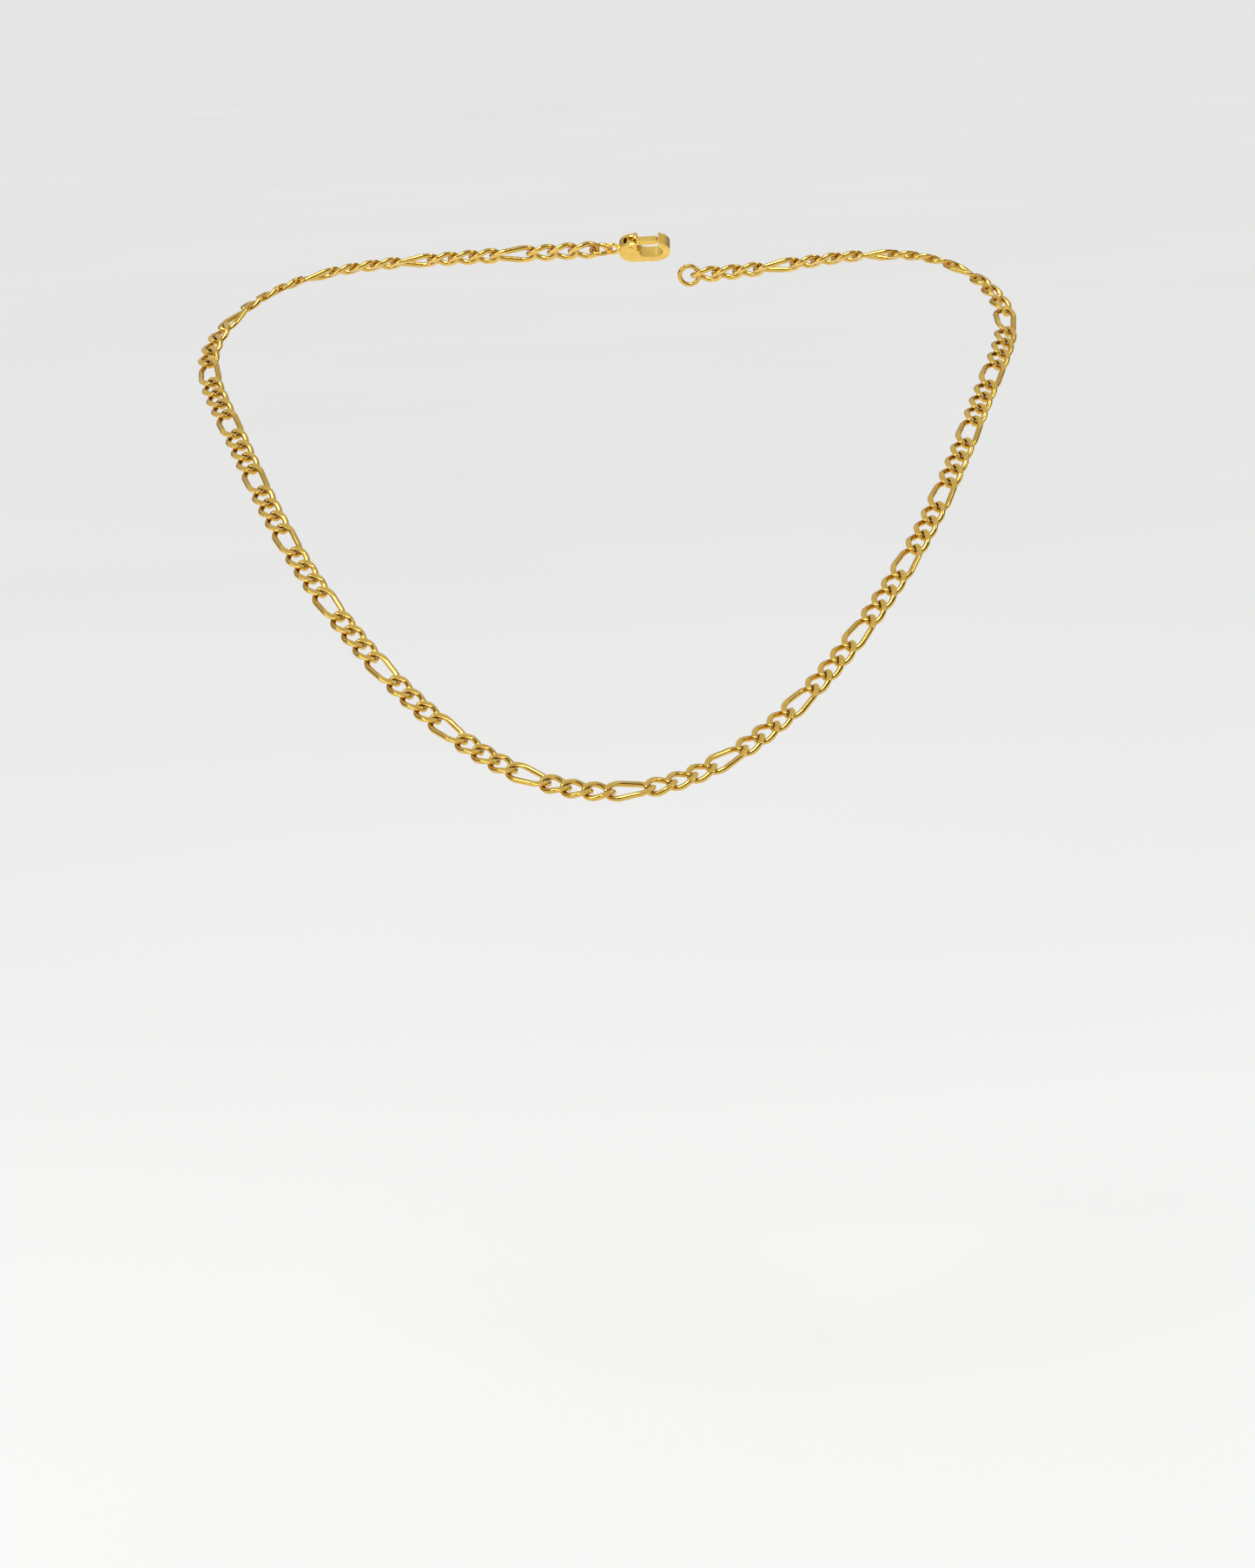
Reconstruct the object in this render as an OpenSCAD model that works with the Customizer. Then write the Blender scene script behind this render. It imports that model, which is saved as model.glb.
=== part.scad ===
// Figaro chain necklace: a flattened curb chain of one long link after every three short ones,
// lying round a neck, with a lobster clasp at the nape. The clasp is shown unhooked.
// Millimetres, +Z up, front towards -Y, origin where the chain's line crosses the nape.

/* [Chain] */
// Diameter of the wire that the links are bent from
wire_d = 1.1; // [1:0.05:1.15]
// Width of every link, outside to outside
link_w = 4.5; // [4.4:0.05:4.7]
// Length of a short link, outside to outside
short_l = 6.4; // [6.3:0.05:6.5]
// Length of a long link, outside to outside
long_l = 9.6; // [9.5:0.05:9.7]
// Thickness that the faces of the chain are ground down to
link_t = 1.5; // [1.3:0.05:1.9]
// Slope of the wire where it passes through a link's end
end_slope = 50; // [48:1:52]
// Slope of the wire half way along a short link's side
short_slope = 24; // [20:1:30]
// Slope of the wire half way along a long link's side
long_slope = 10; // [8:1:12]
// Distance of the front long link from the middle of the front, along the chain
front_shift = 1.8; // [0:0.1:3]
// Play between two hooked wires
hook_gap = 0.08; // [0.06:0.01:0.1]
// How far the chain's loose end hangs below the clasp
end_drop = 6; // [5:0.5:8]

/* [Rings] */
// Wire diameter of the two round rings
ring_wire_d = 0.9; // [0.7:0.05:0.95]
// Outside diameter of the two round rings
ring_od = 4.7; // [4.6:0.1:5]
// Turn of the clasp's ring about the chain's line
ring_tilt = 25; // [15:1:35]
// Play between a ring and what it holds
ring_gap = 0.12; // [0.08:0.01:0.2]

/* [Clasp] */
// Thickness of the clasp's body
clasp_t = 2.6; // [2.2:0.1:3]
// Width of the clasp's body
clasp_w = 5.8; // [5.6:0.1:6]
// Length of the clasp's straight sides
clasp_side = 4.3; // [4:0.1:5]
// Wall of the clasp round its opening
clasp_wall = 1.35; // [1.2:0.05:1.4]
// Thickness of the trigger
trigger_t = 1.2; // [1:0.1:1.4]
// Diameter of the rivet that the trigger turns on
rivet_d = 0.7; // [0.5:0.05:0.8]
// Diameter of the spring's wire
spring_d = 0.3; // [0.2:0.05:0.35]

/* [Quality] */
// Facets of a wire's round section
wire_fn = 24; // [16:4:48]

/* [Hidden] */
LONGS = 24;
TRIOS = LONGS + 1;
seam_l = 0.06;
seam_play = 0.01;
GOLD = [0.86, 0.65, 0.28];
STEEL = [0.7, 0.7, 0.72];

// Half lengths and half width of the links' centrelines, and the pitches that they give
short_a = (short_l - wire_d) / 2;
long_a = (long_l - wire_d) / 2;
link_b = (link_w - wire_d) / 2;
hook = wire_d + hook_gap;
short_reach = short_a - hook / 2;
long_reach = long_a - hook / 2;
short_pitch = 2 * short_reach;
repeat = 2 * short_pitch + 2 * (short_reach + long_reach);

// The chain's line is a closed curve steered by these points and their mirror images, from the
// middle of the front over one shoulder to the nape. HALF_FACES is the way its face looks there.
HALF_ROUTE = [
    [0, -136, -94], [30, -118, -85], [60, -85, -52], [73, -43, -26],
    [82, -19, -15], [64, -1, -1], [32, -2, 0], [0, 1, 0]
];
HALF_FACES = [
    [0, -5, 8], [0, -5, 8], [0, -5, 8], [2, -4, 8],
    [4, -2, 9], [3, 1, 9], [2, 4, 9], [0, 8, 7]
];
LAST = len(HALF_ROUTE) - 1;
function mirrored(list) = [
    for (i = [0 : LAST]) list[i],
    for (i = [LAST - 1 : -1 : 1]) [-list[i].x, list[i].y, list[i].z]
];
ROUTE = mirrored(HALF_ROUTE);
FACES = mirrored(HALF_FACES);
COUNT = len(ROUTE);

// Uniform cubic B-spline through a closed list, at u from 0 to COUNT
function knot(list, i) = list[(i % COUNT + COUNT) % COUNT];
function weights(t) = [pow(1 - t, 3), 3 * pow(t, 3) - 6 * t * t + 4, 3 * t * (1 + t - t * t) + 1, pow(t, 3)] / 6;
function spline(list, u) = let (i = floor(u), w = weights(u - i))
    w[0] * knot(list, i - 1) + w[1] * knot(list, i) + w[2] * knot(list, i + 1) + w[3] * knot(list, i + 2);

// Arc length along the line, as a table from length to u
STEPS = 40;
TABLE = [
    for (
        i = 0, s = 0;
        i <= COUNT * STEPS;
        s = s + norm(spline(ROUTE, (i + 1) / STEPS) - spline(ROUTE, i / STEPS)), i = i + 1
    ) [s, i / STEPS]
];
line_l = TABLE[COUNT * STEPS][0];
function u_at(s) = lookup(s < 0 ? s + line_l : s, TABLE);

// Where each piece sits along the line, counted from the middle of the front
function long_at(n) = front_shift + (n - (LONGS / 2 + 1)) * repeat;
function trio_at(n) = long_at(n) - repeat / 2;
ring_r = (ring_od - ring_wire_d) / 2;
ring_to_short = ring_r + short_a - (ring_wire_d + wire_d) / 2 - ring_gap;
clasp_ring_at = trio_at(1) - short_pitch - ring_to_short;
end_ring_at = trio_at(TRIOS) + short_pitch + ring_to_short;

// A point of the line, and the frame between two of its points: x along, z out of the face
DROP_FROM = 170;
function eased(t) = t * t * (3 - 2 * t);
function drop_at(s) = end_drop * eased(min(max((s - DROP_FROM) / (end_ring_at - DROP_FROM), 0), 1));
function line_at(s) = spline(ROUTE, u_at(s)) - [0, 0, drop_at(s)];
function unit(v) = v / norm(v);
function placed(axes, origin) = [
    for (r = [0 : 2]) [axes[0][r], axes[1][r], axes[2][r], origin[r]],
    [0, 0, 0, 1]
];
function upright(x, face) = let (z = unit(face - (face * x) * x)) [x, cross(z, x), z];
function between(p, q, s) = placed(upright(unit(q - p), spline(FACES, u_at(s))), (p + q) / 2);
function frame_at(s, reach) = between(line_at(s - reach), line_at(s + reach), s);

// Clasp, in its own frame: x from the eye to the tip, z through its thickness, trigger at -y
eye_r = 1.3;
eye_wire_d = 0.8;
clasp_r = clasp_w / 2;
opening_r = clasp_r - clasp_wall;
tail_x = eye_r + 0.1 + clasp_r;
tip_x = tail_x + clasp_side;
clasp_l = tip_x + clasp_r;
PIVOT = [3.7, -1.25];
ELBOW = [5.2, -2.1];
root_r = 1.05;
arm_r = 0.6;
thumb_r = 0.45;
lip_x = tip_x + 0.7;
cheek_x = 5;
slot_t = trigger_t + 0.12;
head_t = 0.12;
eye_at = clasp_ring_at - (ring_r + eye_r - (ring_wire_d + eye_wire_d) / 2 - ring_gap);
clasp_frame = placed(
    upright(unit(line_at(eye_at - clasp_l) - line_at(eye_at)), spline(FACES, u_at(eye_at))),
    line_at(eye_at)
);

// One arc of wire from p, leaving in direction t, to q
module wire_arc(p, t, q) {
    v = q - p;
    side = v - (v * t) * t;
    n = unit(side);
    r = (v * v) / (2 * norm(side));
    turn = 2 * atan2(norm(side), v * t);
    multmatrix(placed([-n, t, cross(-n, t)], p + r * n))
        rotate_extrude(angle = turn, $fn = 4 * wire_fn)
            translate([r, 0]) circle(d = wire_d, $fn = wire_fn);
}

// A bead that hardly stands out of a long link's wire, where two stretches meet at p in direction t
module seam(p, t) {
    side = unit(cross(t, [0, 0, 1]));
    multmatrix(placed([side, cross(t, side), t], p))
        cylinder(h = seam_l, d = wire_d + seam_play, center = true, $fn = wire_fn);
}

// Two arcs with equal tangents that join p, direction t, to q, direction e
module wire_bend(p, t, q, e, seamed) {
    v = q - p;
    sum = t + e;
    a = 4 - sum * sum;
    b = 2 * (v * sum);
    d = (sqrt(b * b + 4 * a * (v * v)) - b) / (2 * a);
    start = p + d * t;
    end = q - d * e;
    middle = (start + end) / 2;
    wire_arc(p, t, middle);
    wire_arc(middle, unit(end - start), q);
    if (seamed) seam(middle, unit(end - start));
}

// A twisted link, bent all round but for the straight middles of its sides, ground flat on both faces
module link(a, slope, straight) {
    end_dir = [0, cos(end_slope), -sin(end_slope)];
    side_dir = [-cos(slope), 0, sin(slope)];
    side_p = [0, link_b, 0] - straight / 2 * side_dir;
    intersection() {
        union() {
            for (turn = [[0, 0, 0], [0, 180, 0], [180, 0, 0], [0, 0, 180]])
                rotate(turn) wire_bend([a, 0, 0], end_dir, side_p, side_dir, straight > 0);
            if (straight > 0)
                for (turn = [0, 180]) {
                    rotate([0, 0, turn]) seam([a, 0, 0], end_dir);
                    rotate([turn, 0, 0]) translate([0, link_b, 0]) rotate([0, 90 + slope, 0])
                        cylinder(h = straight + seam_l, d = wire_d + seam_play, center = true, $fn = wire_fn);
                }
        }
        cube([2 * a + 2 * wire_d, link_w + wire_d, link_t], center = true);
    }
}

// Long link number n, and the three short links before it
module long_link(n) {
    color(GOLD) multmatrix(frame_at(long_at(n), long_reach)) link(long_a, long_slope, 2 * (long_a - short_a));
}
module short_links(n) {
    color(GOLD)
        for (i = [-1 : 1])
            multmatrix(frame_at(trio_at(n) + i * short_pitch, short_reach)) link(short_a, short_slope, 0);
}

module torus(r, d) {
    rotate_extrude($fn = 4 * wire_fn) translate([r, 0]) circle(d = d, $fn = wire_fn);
}

// Flat bar with round ends from p to q
module bar(p, q, r) {
    v = q - p;
    translate(p) circle(r, $fn = 48);
    translate(q) circle(r, $fn = 48);
    translate(p) rotate(atan2(v.y, v.x)) translate([0, -r]) square([norm(v), 2 * r]);
}

// A closed round ring on the chain's line, turned about it
module round_ring(s, tilt) {
    color(GOLD) multmatrix(frame_at(s, ring_r)) rotate([90 + tilt, 0, 0]) torus(ring_r, ring_wire_d);
}

module clasp_jump_ring() {
    round_ring(clasp_ring_at, ring_tilt);
}

module end_ring() {
    round_ring(end_ring_at, -end_slope);
}

module plate(t) {
    linear_extrude(t, center = true) children();
}

module rivet_hole(play) {
    translate(PIVOT) cylinder(h = 2 * clasp_t, d = rivet_d + play, center = true, $fn = 32);
}

// Cast body: eye, hook with its opening and mouth, and a slot between two cheeks for the trigger
module clasp_body() {
    color(GOLD) multmatrix(clasp_frame) {
        torus(eye_r, eye_wire_d);
        difference() {
            union() {
                plate(clasp_t) bar([tail_x, 0], [tip_x, 0], clasp_r);
                translate([tail_x / 2, 0]) cube([tail_x - 2 * eye_r + 0.2, 1.6, eye_wire_d], center = true);
            }
            plate(2 * clasp_t) bar([tail_x + 2.6, 0], [tip_x - 0.1, 0], opening_r);
            plate(2 * clasp_t) translate([cheek_x, -clasp_w]) square([lip_x - cheek_x, clasp_w - 0.5]);
            plate(slot_t) translate([2.4, -clasp_w]) square([3.6, clasp_w + 0.75]);
            rivet_hole(0.02);
        }
    }
}

// Trigger: a round root on the rivet, a heel for the spring, an arm to the lip and a thumb piece
module clasp_trigger() {
    color(GOLD) multmatrix(clasp_frame)
        difference() {
            plate(trigger_t) {
                translate(PIVOT) circle(root_r, $fn = 48);
                bar(PIVOT, PIVOT + [0.75, 0.45], 0.4);
                bar(PIVOT, ELBOW, arm_r);
                bar(ELBOW, [lip_x - 0.1 - arm_r, ELBOW.y], arm_r);
                bar(ELBOW - [0.3, 0], ELBOW - [0.4, 1.5], thumb_r);
            }
            rivet_hole(0.06);
        }
}

module clasp_rivet() {
    color(GOLD) multmatrix(clasp_frame) translate(PIVOT) {
        cylinder(h = clasp_t, d = rivet_d, center = true, $fn = 32);
        for (side = [-1, 1])
            translate([0, 0, side * (clasp_t + head_t) / 2])
                cylinder(h = head_t, d = 1.6 * rivet_d, center = true, $fn = 32);
    }
}

// Hairpin of steel wire above the trigger's heel
module clasp_spring() {
    leg = 2.1;
    bend_r = 0.16;
    x = 3.1;
    y = 0.38;
    color(STEEL) multmatrix(clasp_frame) translate([x, y, 0]) {
        rotate(90) rotate_extrude(angle = 180, $fn = 48) translate([bend_r, 0]) circle(d = spring_d, $fn = 24);
        for (side = [-1, 1])
            translate([0, side * bend_r, 0]) rotate([0, 90, 0]) cylinder(h = leg, d = spring_d, $fn = 24);
    }
}

function two_digits(n) = n < 10 ? str("0", n) : str(n);

clasp_body();
clasp_trigger();
clasp_rivet();
clasp_spring();
clasp_jump_ring();
end_ring();
for (n = [1 : LONGS])
    long_link(n);
for (n = [1 : TRIOS])
    short_links(n);
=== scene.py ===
"""Looks of a Figaro chain necklace in polished gold.

Every link is bent, twisted and ground in mesh code in the place of its CAD solid. The rings are coils of
wire with their cut, and the clasp is the CAD skin with its edges rounded.
"""

import math

import bmesh
import bpy
import numpy as np
from mathutils import Matrix, Vector


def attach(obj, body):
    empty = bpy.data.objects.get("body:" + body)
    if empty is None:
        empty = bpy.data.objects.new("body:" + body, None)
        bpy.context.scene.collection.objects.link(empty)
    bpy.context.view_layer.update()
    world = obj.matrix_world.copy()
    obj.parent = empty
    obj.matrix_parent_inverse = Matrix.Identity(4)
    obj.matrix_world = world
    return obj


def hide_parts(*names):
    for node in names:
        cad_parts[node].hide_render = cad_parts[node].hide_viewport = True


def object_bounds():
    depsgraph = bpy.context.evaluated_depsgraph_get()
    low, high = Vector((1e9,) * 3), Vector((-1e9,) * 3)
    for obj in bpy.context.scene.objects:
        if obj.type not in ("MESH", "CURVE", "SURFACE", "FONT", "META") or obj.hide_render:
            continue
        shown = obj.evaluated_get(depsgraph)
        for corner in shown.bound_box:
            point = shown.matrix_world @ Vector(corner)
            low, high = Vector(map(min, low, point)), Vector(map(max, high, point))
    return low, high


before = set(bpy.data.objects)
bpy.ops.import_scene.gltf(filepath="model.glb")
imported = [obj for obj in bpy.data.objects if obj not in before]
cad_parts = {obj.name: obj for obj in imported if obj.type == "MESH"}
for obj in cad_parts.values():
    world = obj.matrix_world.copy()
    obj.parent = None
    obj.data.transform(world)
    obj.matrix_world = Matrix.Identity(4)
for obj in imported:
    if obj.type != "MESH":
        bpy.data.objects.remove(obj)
CAD_LOW, CAD_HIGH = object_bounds()
MM = 0.001

# The links, as they are bent and ground, in millimetres and degrees
WIRE_R = 0.548  # a hair under the CAD wire, to stay inside it
HALF_WIDTH = 1.7
HALF_SHORT = 2.65
HALF_LONG = 4.25
STRAIGHT_LONG = 1.6
FACE_Z = 0.75
END_SLOPE = 50
SHORT_SLOPE = 24
LONG_SLOPE = 10
EDGE_TURN = 0.2  # half the soft edge of a ground face, as a turn about the wire's centre
LEAST_TURN = 0.3  # turn to each side of the top that is meshed as a strip where nothing is ground away
CUT_BLEND = 0.02  # depth below the wire's own skin at which a point counts fully as ground
NOOK_REACH = 1.6  # how far from a link's end its nook begins
NOOK_BLEND = 1.2
STRIP_STEPS = 4
SIDE_STEPS = 8
BEND_STEPS = 7
SWEEP_STEPS = 9
STRAIGHT_STEPS = 4

# The rings, in millimetres
RING_CUT = 0.05
CUT_LIP = 0.04
CUT_SHARE = 0.88  # thickness left at the cut's rim
RING_STEPS = 96
RING_ROUND_STEPS = 32

# Reading the CAD skin
WELD = 2e-6  # corners closer than this, in metres, are one
BEVEL_SEGMENTS = 3
SHARP = 35  # degrees between two faces that make an edge worth rounding

# The floor lies well under the hanging chain and reaches far past every view, in metres
FLOOR_DROP = 0.12
FLOOR_REACH = 60

# Tones of the metals, from the deeper to the brighter of their clouds
GOLD_DEEP, GOLD_BRIGHT = (0.84, 0.54, 0.11), (0.95, 0.66, 0.17)
# Dark gold mixed in as painted shade on a wire's unground sides and in its nooks
GOLD_PAINTED_SHADE = (0.3, 0.14, 0.02)
STEEL_DEEP, STEEL_BRIGHT = (0.55, 0.55, 0.57), (0.72, 0.72, 0.74)
SIDE_PAINTED_SHADE = 0.3  # how much deeper the painted shade makes the colour of a wire's unground sides than its faces'
NOOK_DULLING = 0.18
FACE_SHINE = -0.05

# The camera looks at AIM from the front
AIM = Vector((0.0003, -0.075, -0.097))
CAMERA_AZIMUTH, CAMERA_ELEVATION, CAMERA_ROLL = 1.12, 7.6, -3.16
CAMERA_DISTANCE = 1.248
CAMERA_LENS = 151.7

# The dome of light is dim low in front and bright overhead and behind: its brightness grows along DOME_AXIS
DOME_AXIS = (0, 0.25, 1)
DOME_EDGES = (0.08, 0.68)
DOME_LOW, DOME_HIGH = (0.015, 0.015, 0.015), (0.64, 0.64, 0.64)


def unit(v):
    return v / np.linalg.norm(v)


# ---- Shape of a link ----


def arc(p, t, q, steps):
    """Points and tangents of the arc that leaves p in direction t and ends at q, without q."""
    v = q - p
    side = v - (v @ t) * t
    n = unit(side)
    r = (v @ v) / (2 * np.linalg.norm(side))
    whole_turn = 2 * math.atan2(np.linalg.norm(side), v @ t)
    turns = np.linspace(0, whole_turn, steps, endpoint=False)[:, None]
    points = p + r * ((1 - np.cos(turns)) * n + np.sin(turns) * t)
    return points, np.sin(turns) * n + np.cos(turns) * t


def quarter(half_length, slope, straight):
    """A quarter of a link's centreline, from the middle of its end to the middle of its side.

    It is a tight bend, a wide one and half the straight side.
    """
    end_slope, slope = math.radians(END_SLOPE), math.radians(slope)
    t = np.array([0, math.cos(end_slope), -math.sin(end_slope)])
    e = np.array([-math.cos(slope), 0, math.sin(slope)])
    p = np.array([half_length, 0, 0.0])
    q = np.array([0, HALF_WIDTH, 0.0]) - straight * e
    v, both = q - p, t + e
    a, b = 4 - both @ both, 2 * (v @ both)
    d = (math.sqrt(b * b + 4 * a * (v @ v)) - b) / (2 * a)
    start, end = p + d * t, q - d * e
    middle = (start + end) / 2
    stretches = [arc(p, t, middle, BEND_STEPS), arc(middle, unit(end - start), q, SWEEP_STEPS)]
    if straight:
        steps = np.linspace(0, straight, STRAIGHT_STEPS, endpoint=False)[:, None]
        stretches.append((q + steps * e, np.repeat(e[None], len(steps), 0)))
    stretches.append((np.array([[0, HALF_WIDTH, 0.0]]), e[None]))
    return np.vstack([s[0] for s in stretches]), np.vstack([s[1] for s in stretches])


def centreline(half_length, slope, straight):
    """The closed centreline. Each quarter is the first one turned half round about an axis."""
    points, tangents = quarter(half_length, slope, straight)
    loop, along = [points], [tangents]
    for flip, backwards in (((-1, 1, -1), True), ((-1, -1, 1), False), ((1, -1, -1), True)):
        turned, leading = points * flip, tangents * flip
        if backwards:
            turned, leading = turned[::-1], -leading[::-1]
        loop.append(turned)
        along.append(leading)
    return np.vstack([x[:-1] for x in loop]), np.vstack([x[:-1] for x in along])


def section(turn_top, turn_bottom):
    """Turns about the wire's centre of one ring of vertices, from the top strip round by the sides."""
    strip = np.linspace(-1, 1, STRIP_STEPS)
    side = np.linspace(turn_top + EDGE_TURN, math.pi - turn_bottom - EDGE_TURN, SIDE_STEPS)
    top = strip * (turn_top - EDGE_TURN)
    bottom = math.pi + strip * (turn_bottom - EDGE_TURN)
    return np.concatenate([top, side, bottom, (2 * math.pi - side)[::-1]])


def ground_turn(height, lift):
    """How far round from the top the wire is ground away, where its centre is that far below the face."""
    return max(LEAST_TURN, math.acos(min(1, max(-1, height / lift))))


def tube_faces(rows, around, closed):
    """Quads between each row of points and the next, and from the last to the first if closed."""
    spans = range(rows if closed else rows - 1)
    steps = [(j, (j + 1) % around) for j in range(around)]
    ends = [(i * around, (i + 1) % rows * around) for i in spans]
    return [(a + j, a + k, b + k, b + j) for a, b in ends for j, k in steps]


def link(half_length, slope, straight):
    """Vertices, faces, normals, and for each vertex its share of ground face and of hooked nook."""
    points, tangents = centreline(half_length, slope, straight)
    up = np.array([0, 0, 1.0])
    rows, normals, ground, nook = [], [], [], []
    for c, t in zip(points, tangents):
        u = unit(up - t[2] * t)
        w = np.cross(t, u)
        lift = WIRE_R * u[2]
        turns = section(ground_turn(FACE_Z - c[2], lift), ground_turn(FACE_Z + c[2], lift))
        rise, spread = np.cos(turns)[:, None], np.sin(turns)[:, None]
        radial = rise * u + spread * w
        over = np.abs(c[2] + lift * rise) - FACE_Z
        level = np.clip((np.sign(rise) * FACE_Z - c[2]) / lift, -1, 1)
        rise = np.where(over > 0, level, rise)
        cut = np.clip(over / CUT_BLEND, 0, 1)
        normal = radial * (1 - cut) + np.sign(rise) * up * cut
        rows.append(c + WIRE_R * (rise * u + spread * w))
        normals.append(normal / np.linalg.norm(normal, axis=1, keepdims=True))
        ground.append(cut[:, 0])
        inward = -(radial @ unit(c * (1, 1, 0)))
        near_end = np.clip((abs(c[0]) - half_length + NOOK_REACH) / NOOK_BLEND, 0, 1)
        nook.append(np.clip(inward, 0, 1) * near_end)
    faces = tube_faces(len(rows), len(rows[0]), closed=True)
    return np.vstack(rows), faces, np.vstack(normals), np.concatenate(ground), np.concatenate(nook)


# ---- Where the frame holds each link ----


def solids(node):
    """The separate solids of a CAD node, each as its corners' coordinates, face by face."""
    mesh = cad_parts[node].data
    mesh.calc_loop_triangles()
    co = np.zeros(len(mesh.vertices) * 3, np.float32)
    mesh.vertices.foreach_get("co", co)
    co = co.reshape(-1, 3).astype(float)
    tris = np.zeros(len(mesh.loop_triangles) * 3, np.int32)
    mesh.loop_triangles.foreach_get("vertices", tris)
    welded = np.unique(np.round(co / WELD), axis=0, return_inverse=True)[1].reshape(-1)
    ids = welded[tris].reshape(-1, 3)
    label = np.arange(welded.max() + 1)
    while True:
        before = label.copy()
        low = label[ids].min(1)
        for k in range(3):
            np.minimum.at(label, ids[:, k], low)
        label = label[label]
        if (label == before).all():
            break
    corners, owner = co[tris.reshape(-1, 3)], label[ids[:, 0]]
    return [corners[owner == k] for k in np.unique(owner)]


def place_of(corners):
    """Centre and axes of a solid from its skin: x along its length, z out of its face."""
    a, b, c = corners.transpose(1, 0, 2)
    area = np.linalg.norm(np.cross(b - a, c - a), axis=1)
    middle = corners.mean(1)
    centre = (area[:, None] * middle).sum(0) / area.sum()
    spread = np.einsum("i,ij,ik->jk", area, middle - centre, middle - centre)
    axes = np.linalg.eigh(spread)[1][:, ::-1].T
    axes[2] = np.cross(axes[0], axes[1])
    return centre, axes


def mesh_object(name, vertices, faces, normals=None, **per_vertex):
    mesh = bpy.data.meshes.new(name)
    mesh.from_pydata([tuple(v) for v in vertices], [], faces)
    for key, values in per_vertex.items():
        mesh.attributes.new(key, "FLOAT", "POINT").data.foreach_set("value", values.astype(np.float32))
    mesh.shade_smooth()
    if normals is not None:
        mesh.normals_split_custom_set_from_vertices([tuple(n) for n in normals])
    piece = bpy.data.objects.new(name, mesh)
    bpy.context.scene.collection.objects.link(piece)
    return piece


def dress(piece, node, body, material):
    """Puts a new piece in a CAD node's place."""
    piece.data.materials.clear()
    piece.data.materials.append(material)
    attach(piece, body)
    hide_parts(node)
    return piece


def links_of(node, shape, material):
    """One piece with a link in the place of each of the node's solids."""
    vertices, faces, normals, ground, nook = shape
    places = [place_of(s) for s in solids(node)]
    count = len(vertices)
    piece = mesh_object(
        node.replace("short_links", "short_links_bent").replace("long_link", "long_link_bent"),
        np.vstack([centre + MM * vertices @ axes for centre, axes in places]),
        [tuple(v + k * count for v in f) for k in range(len(places)) for f in faces],
        np.vstack([normals @ axes for _, axes in places]),
        ground=np.tile(ground, len(places)),
        nook=np.tile(nook, len(places)),
    )
    return dress(piece, node, node, material)


# ---- Rings, cut from a coil of wire and closed again ----


def cut_ring(node, body, material):
    """A round ring with the hair-fine cut that it was closed at."""
    corners = solids(node)[0]
    centre, axes = place_of(corners)
    reach = np.linalg.norm((corners.reshape(-1, 3) - centre) @ axes[:2].T, axis=1)
    ring_r, wire_r = (reach.max() + reach.min()) / 2, (reach.max() - reach.min()) / 2
    cut, lip = RING_CUT * MM / ring_r / 2, CUT_LIP * MM / ring_r
    between = np.linspace(cut + lip, 2 * math.pi - cut - lip, RING_STEPS)
    turns = np.concatenate([[cut], between, [2 * math.pi - cut]])
    thick = np.concatenate([[CUT_SHARE], np.ones(RING_STEPS), [CUT_SHARE]]) * wire_r
    around = np.linspace(0, 2 * math.pi, RING_ROUND_STEPS, endpoint=False)
    outward = np.cos(turns)[:, None] * axes[0] + np.sin(turns)[:, None] * axes[1]
    rows = [
        centre + (ring_r + r * np.cos(around))[:, None] * out + (r * np.sin(around))[:, None] * axes[2]
        for out, r in zip(outward, thick)
    ]
    m, last = RING_ROUND_STEPS, (len(rows) - 1) * RING_ROUND_STEPS
    faces = [f[::-1] for f in tube_faces(len(rows), m, closed=False)]
    faces += [tuple(range(m)), tuple(range(last, last + m))[::-1]]
    # With no ground face and no nook, the whole ring takes the painted shade of a wire's unground sides
    flat = np.zeros(len(rows) * m)
    piece = mesh_object(node + "_wire", np.vstack(rows), faces, ground=flat, nook=flat)
    return dress(piece, node, body, material)


# ---- Clasp ----


def softened(node, name, width):
    """A copy of a CAD node's skin with every sharp edge rounded, as casting and polishing leave it."""
    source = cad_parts[node].data
    bm = bmesh.new()
    bm.from_mesh(source)
    bmesh.ops.remove_doubles(bm, verts=bm.verts, dist=WELD)
    bmesh.ops.dissolve_limit(bm, angle_limit=math.radians(0.5), verts=bm.verts, edges=bm.edges)
    sharp = [e for e in bm.edges if e.is_manifold and e.calc_face_angle(0) > math.radians(SHARP)]
    bmesh.ops.bevel(
        bm,
        geom=sharp,
        offset=width * MM,
        segments=BEVEL_SEGMENTS,
        profile=0.5,
        affect="EDGES",
        clamp_overlap=True,
    )
    bmesh.ops.triangulate(bm, faces=[f for f in bm.faces if len(f.verts) > 4])
    mesh = bpy.data.meshes.new(name)
    bm.to_mesh(mesh)
    bm.free()
    mesh.shade_smooth()
    piece = bpy.data.objects.new(name, mesh)
    bpy.context.scene.collection.objects.link(piece)
    weighted = piece.modifiers.new("even_normals", "WEIGHTED_NORMAL")
    weighted.weight = 80
    weighted.keep_sharp = True
    return piece


# ---- Materials ----


def node_maker(owner):
    tree = owner.node_tree

    def make(kind, **sockets):
        node = tree.nodes.new(kind)
        for key, value in sockets.items():
            name = key.replace("_", " ")
            if name in node.inputs:
                if isinstance(value, bpy.types.NodeSocket):
                    tree.links.new(value, node.inputs[name])
                else:
                    node.inputs[name].default_value = value
            else:
                setattr(node, key, value)
        return node

    return make, tree


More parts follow.
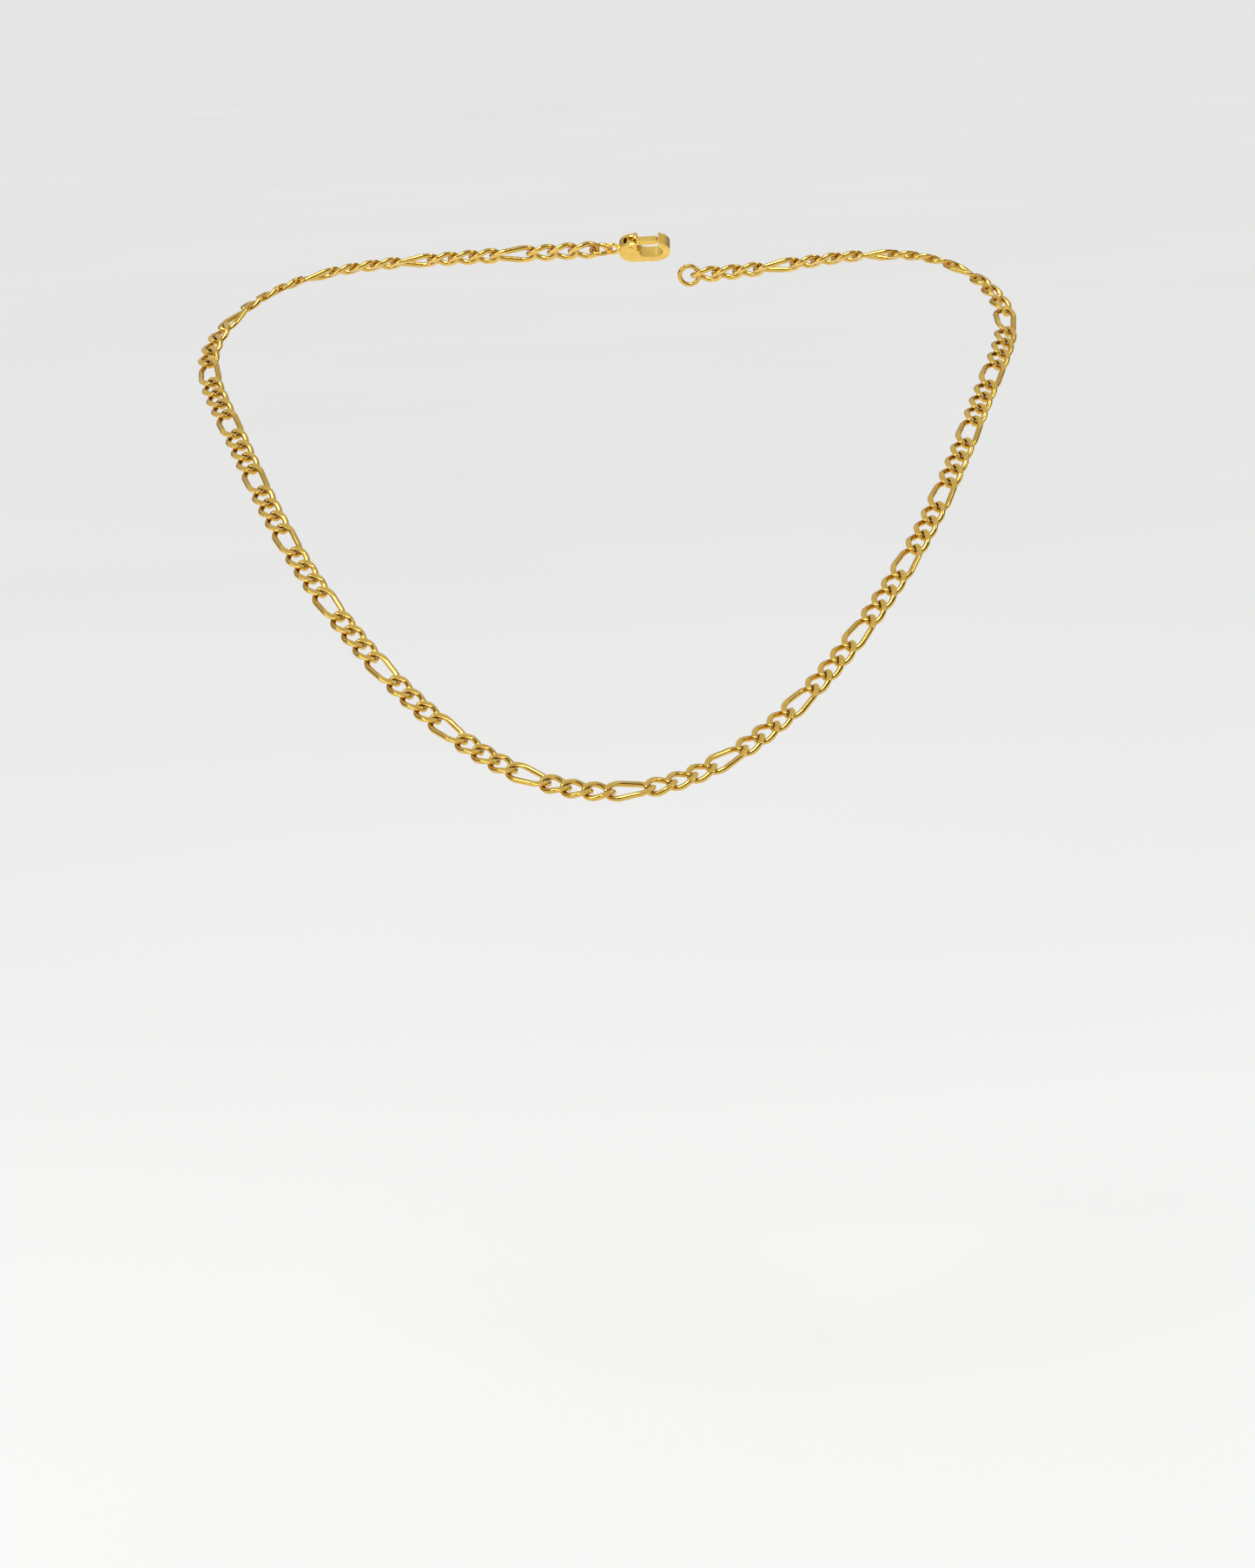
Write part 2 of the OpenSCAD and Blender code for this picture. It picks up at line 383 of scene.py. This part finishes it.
def calculated(make, operation, *values, clamp=False):
    """A Math node on these values, which are numbers or other nodes' outputs."""
    node = make("ShaderNodeMath", operation=operation, use_clamp=clamp)
    for socket, value in zip(node.inputs, values):
        if isinstance(value, bpy.types.NodeSocket):
            node.id_data.links.new(value, socket)
        else:
            socket.default_value = value
    return node.outputs[0]


def ramp(make, factor, low, high, low_colour, high_colour):
    node = make("ShaderNodeValToRGB", Fac=factor)
    for element, position, colour in zip(node.color_ramp.elements, (low, high), (low_colour, high_colour)):
        element.position = position
        element.color = (*colour, 1)
    return node.outputs["Color"]


def mapped(make, value, low, high, to_low, to_high):
    node = make("ShaderNodeMapRange", Value=value, From_Min=low, From_Max=high, To_Min=to_low, To_Max=to_high)
    return node.outputs["Result"]


def wire_with_painted_shade(make, tree, colour, rough, cloud):
    """Colour and roughness of bent wire: painted shade on its round sides and in its nooks, which are rougher
    too, and a sharper gloss on its faces.
    """
    ground = make("ShaderNodeAttribute", attribute_name="ground").outputs["Fac"]
    nook = make("ShaderNodeAttribute", attribute_name="nook").outputs["Fac"]
    # Painted shade: the unground sides are darkened evenly, and the nooks where links hook are darkened more,
    # with the cloud
    side = mapped(make, ground, 0, 1, SIDE_PAINTED_SHADE, 0)
    painted_shade = calculated(make, "MULTIPLY_ADD", nook, cloud, side, clamp=True)
    mix = make("ShaderNodeMix", data_type="RGBA")
    factor, clean, dark = mix.inputs["Factor"], mix.inputs[6], mix.inputs[7]
    tree.links.new(painted_shade, factor)
    tree.links.new(colour, clean)
    dark.default_value = (*GOLD_PAINTED_SHADE, 1)
    dull = calculated(make, "MULTIPLY_ADD", painted_shade, NOOK_DULLING, rough)
    return mix.outputs[2], calculated(make, "MULTIPLY_ADD", ground, FACE_SHINE, dull, clamp=True)


def polished_metal(name, deep, bright, roughness, cloud_scale, scratch_depth, bent=True):
    """Polished metal: colour that drifts a little, fine wiping scratches and a soft orange-peel wave."""
    material = bpy.data.materials.new(name)
    material.use_nodes = True
    make, tree = node_maker(material)
    shader = tree.nodes["Principled BSDF"]
    shader.inputs["Metallic"].default_value = 1
    place = make("ShaderNodeTexCoord").outputs["Object"]
    cloud = make(
        "ShaderNodeTexNoise", Vector=place, Scale=cloud_scale, Detail=3, Roughness=0.55
    ).outputs["Fac"]
    wiped = make("ShaderNodeMapping", Vector=place, Scale=(1, 0.12, 0.3), Rotation=(0.5, 0.2, 0.9))
    scratches = make(
        "ShaderNodeTexNoise", Vector=wiped.outputs["Vector"], Scale=26000, Detail=2, Roughness=0.6
    ).outputs["Fac"]
    peel = make("ShaderNodeTexNoise", Vector=place, Scale=1500, Detail=1).outputs["Fac"]
    colour = ramp(make, cloud, 0.3, 0.7, deep, bright)
    rough = mapped(make, cloud, 0.25, 0.75, *roughness)
    # Bent wire gets painted shade on its unground sides and in its nooks
    if bent:
        colour, rough = wire_with_painted_shade(make, tree, colour, rough, cloud)
    wave = make("ShaderNodeBump", Height=peel, Strength=0.25, Distance=0.00002).outputs["Normal"]
    scratched = make(
        "ShaderNodeBump", Height=scratches, Strength=scratch_depth, Distance=0.000004, Normal=wave
    ).outputs["Normal"]
    tree.links.new(colour, shader.inputs["Base Color"])
    tree.links.new(rough, shader.inputs["Roughness"])
    tree.links.new(scratched, shader.inputs["Normal"])
    return material


def floor_material():
    material = bpy.data.materials.new("pale_floor")
    material.use_nodes = True
    make, tree = node_maker(material)
    shader = tree.nodes["Principled BSDF"]
    shader.inputs["Roughness"].default_value = 0.9
    place = make("ShaderNodeTexCoord").outputs["Object"]
    grain = make("ShaderNodeTexNoise", Vector=place, Scale=3, Detail=2).outputs["Fac"]
    tone = ramp(make, grain, 0.3, 0.7, (0.86, 0.86, 0.855), (0.88, 0.88, 0.875))
    tree.links.new(tone, shader.inputs["Base Color"])
    return material


# ---- Stage ----


def round_the_object(azimuth, elevation):
    """Direction from the object at this elevation and azimuth, 0 in front and 90 on the right."""
    a, e = math.radians(azimuth), math.radians(elevation)
    return Vector((math.sin(a) * math.cos(e), -math.cos(a) * math.cos(e), math.sin(e)))


def add_camera():
    data = bpy.data.cameras.new("camera")
    camera = bpy.data.objects.new("camera", data)
    bpy.context.scene.collection.objects.link(camera)
    back = round_the_object(CAMERA_AZIMUTH, CAMERA_ELEVATION)
    camera.location = AIM + CAMERA_DISTANCE * back
    turned = (-back).to_track_quat("-Z", "Y").to_matrix() @ Matrix.Rotation(math.radians(CAMERA_ROLL), 3, "Z")
    camera.rotation_euler = turned.to_euler()
    data.lens = CAMERA_LENS
    data.clip_start, data.clip_end = 0.05, 200
    bpy.context.scene.camera = camera


def add_softbox(name, azimuth, elevation, distance, size, power, colour=(1, 1, 1)):
    data = bpy.data.lights.new(name, "AREA")
    data.shape = "RECTANGLE"
    data.size, data.size_y = size
    data.energy = power
    data.color = colour
    light = bpy.data.objects.new(name, data)
    bpy.context.scene.collection.objects.link(light)
    back = round_the_object(azimuth, elevation)
    middle = (CAD_LOW + CAD_HIGH) / 2
    light.location = middle + distance * back
    light.rotation_euler = (-back).to_track_quat("-Z", "Y").to_euler()


def studio_sky():
    """A dome of soft light, bright overhead and dim towards the horizon."""
    world = bpy.data.worlds.new("studio")
    world.use_nodes = True
    make, tree = node_maker(world)
    direction = make("ShaderNodeTexCoord").outputs["Generated"]
    height = make("ShaderNodeVectorMath", operation="DOT_PRODUCT")
    tree.links.new(direction, height.inputs[0])
    height.inputs[1].default_value = DOME_AXIS
    share = mapped(make, height.outputs["Value"], *DOME_EDGES, 0, 1)
    dome = ramp(make, share, 0, 1, DOME_LOW, DOME_HIGH)
    tree.links.new(dome, tree.nodes["Background"].inputs["Color"])
    return world


def add_sun(azimuth, elevation, angle, strength):
    data = bpy.data.lights.new("sun", "SUN")
    data.angle = math.radians(angle)
    data.energy = strength
    light = bpy.data.objects.new("sun", data)
    bpy.context.scene.collection.objects.link(light)
    light.rotation_euler = (-round_the_object(azimuth, elevation)).to_track_quat("-Z", "Y").to_euler()


def add_stage():
    height = CAD_LOW.z - FLOOR_DROP
    signs = ((-1, -1), (1, -1), (1, 1), (-1, 1))
    corners = [(x * FLOOR_REACH, y * FLOOR_REACH, height) for x, y in signs]
    floor = mesh_object("floor", corners, [(0, 1, 2, 3)])
    floor.data.materials.append(floor_material())
    bpy.context.scene.world = studio_sky()
    bpy.context.scene.view_settings.view_transform = "Standard"
    add_sun(-25, 58, 26, 1.5)
    add_softbox("left", -62, 30, 1.2, (0.35, 0.8), 3, (1, 0.98, 0.95))
    add_softbox("right", 68, 34, 1.3, (0.2, 0.7), 2)


# ---- The necklace ----

GOLD, STEEL = (GOLD_DEEP, GOLD_BRIGHT), (STEEL_DEEP, STEEL_BRIGHT)
gold_chain = polished_metal("gold_chain", *GOLD, (0.07, 0.15), 900, 0.3)
gold_ring = polished_metal("gold_ring", *GOLD, (0.06, 0.14), 700, 0.25)
gold_clasp = polished_metal("gold_clasp", *GOLD, (0.08, 0.17), 500, 0.35, bent=False)
spring_steel = polished_metal("spring_steel", *STEEL, (0.2, 0.34), 1500, 0.5, bent=False)

long_shape = link(HALF_LONG, LONG_SLOPE, STRAIGHT_LONG)
short_shape = link(HALF_SHORT, SHORT_SLOPE, 0)
for node in sorted(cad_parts):
    if node.startswith("long_link"):
        links_of(node, long_shape, gold_chain)
    elif node.startswith("short_links"):
        links_of(node, short_shape, gold_chain)

for node in ("clasp_jump_ring", "end_ring"):
    cut_ring(node, node, gold_ring)

for node, body, width, slot, material in (
    ("clasp_body", "clasp", 0.22, "gold_clasp", gold_clasp),
    ("clasp_trigger", "trigger", 0.15, "gold_clasp", gold_clasp),
    ("clasp_rivet", "clasp", 0.05, "gold_clasp", gold_clasp),
    ("clasp_spring", "clasp", 0.03, "steel_spring", spring_steel),
):
    dress(softened(node, node + "_polished", width), node, body, material)

add_camera()
add_stage()
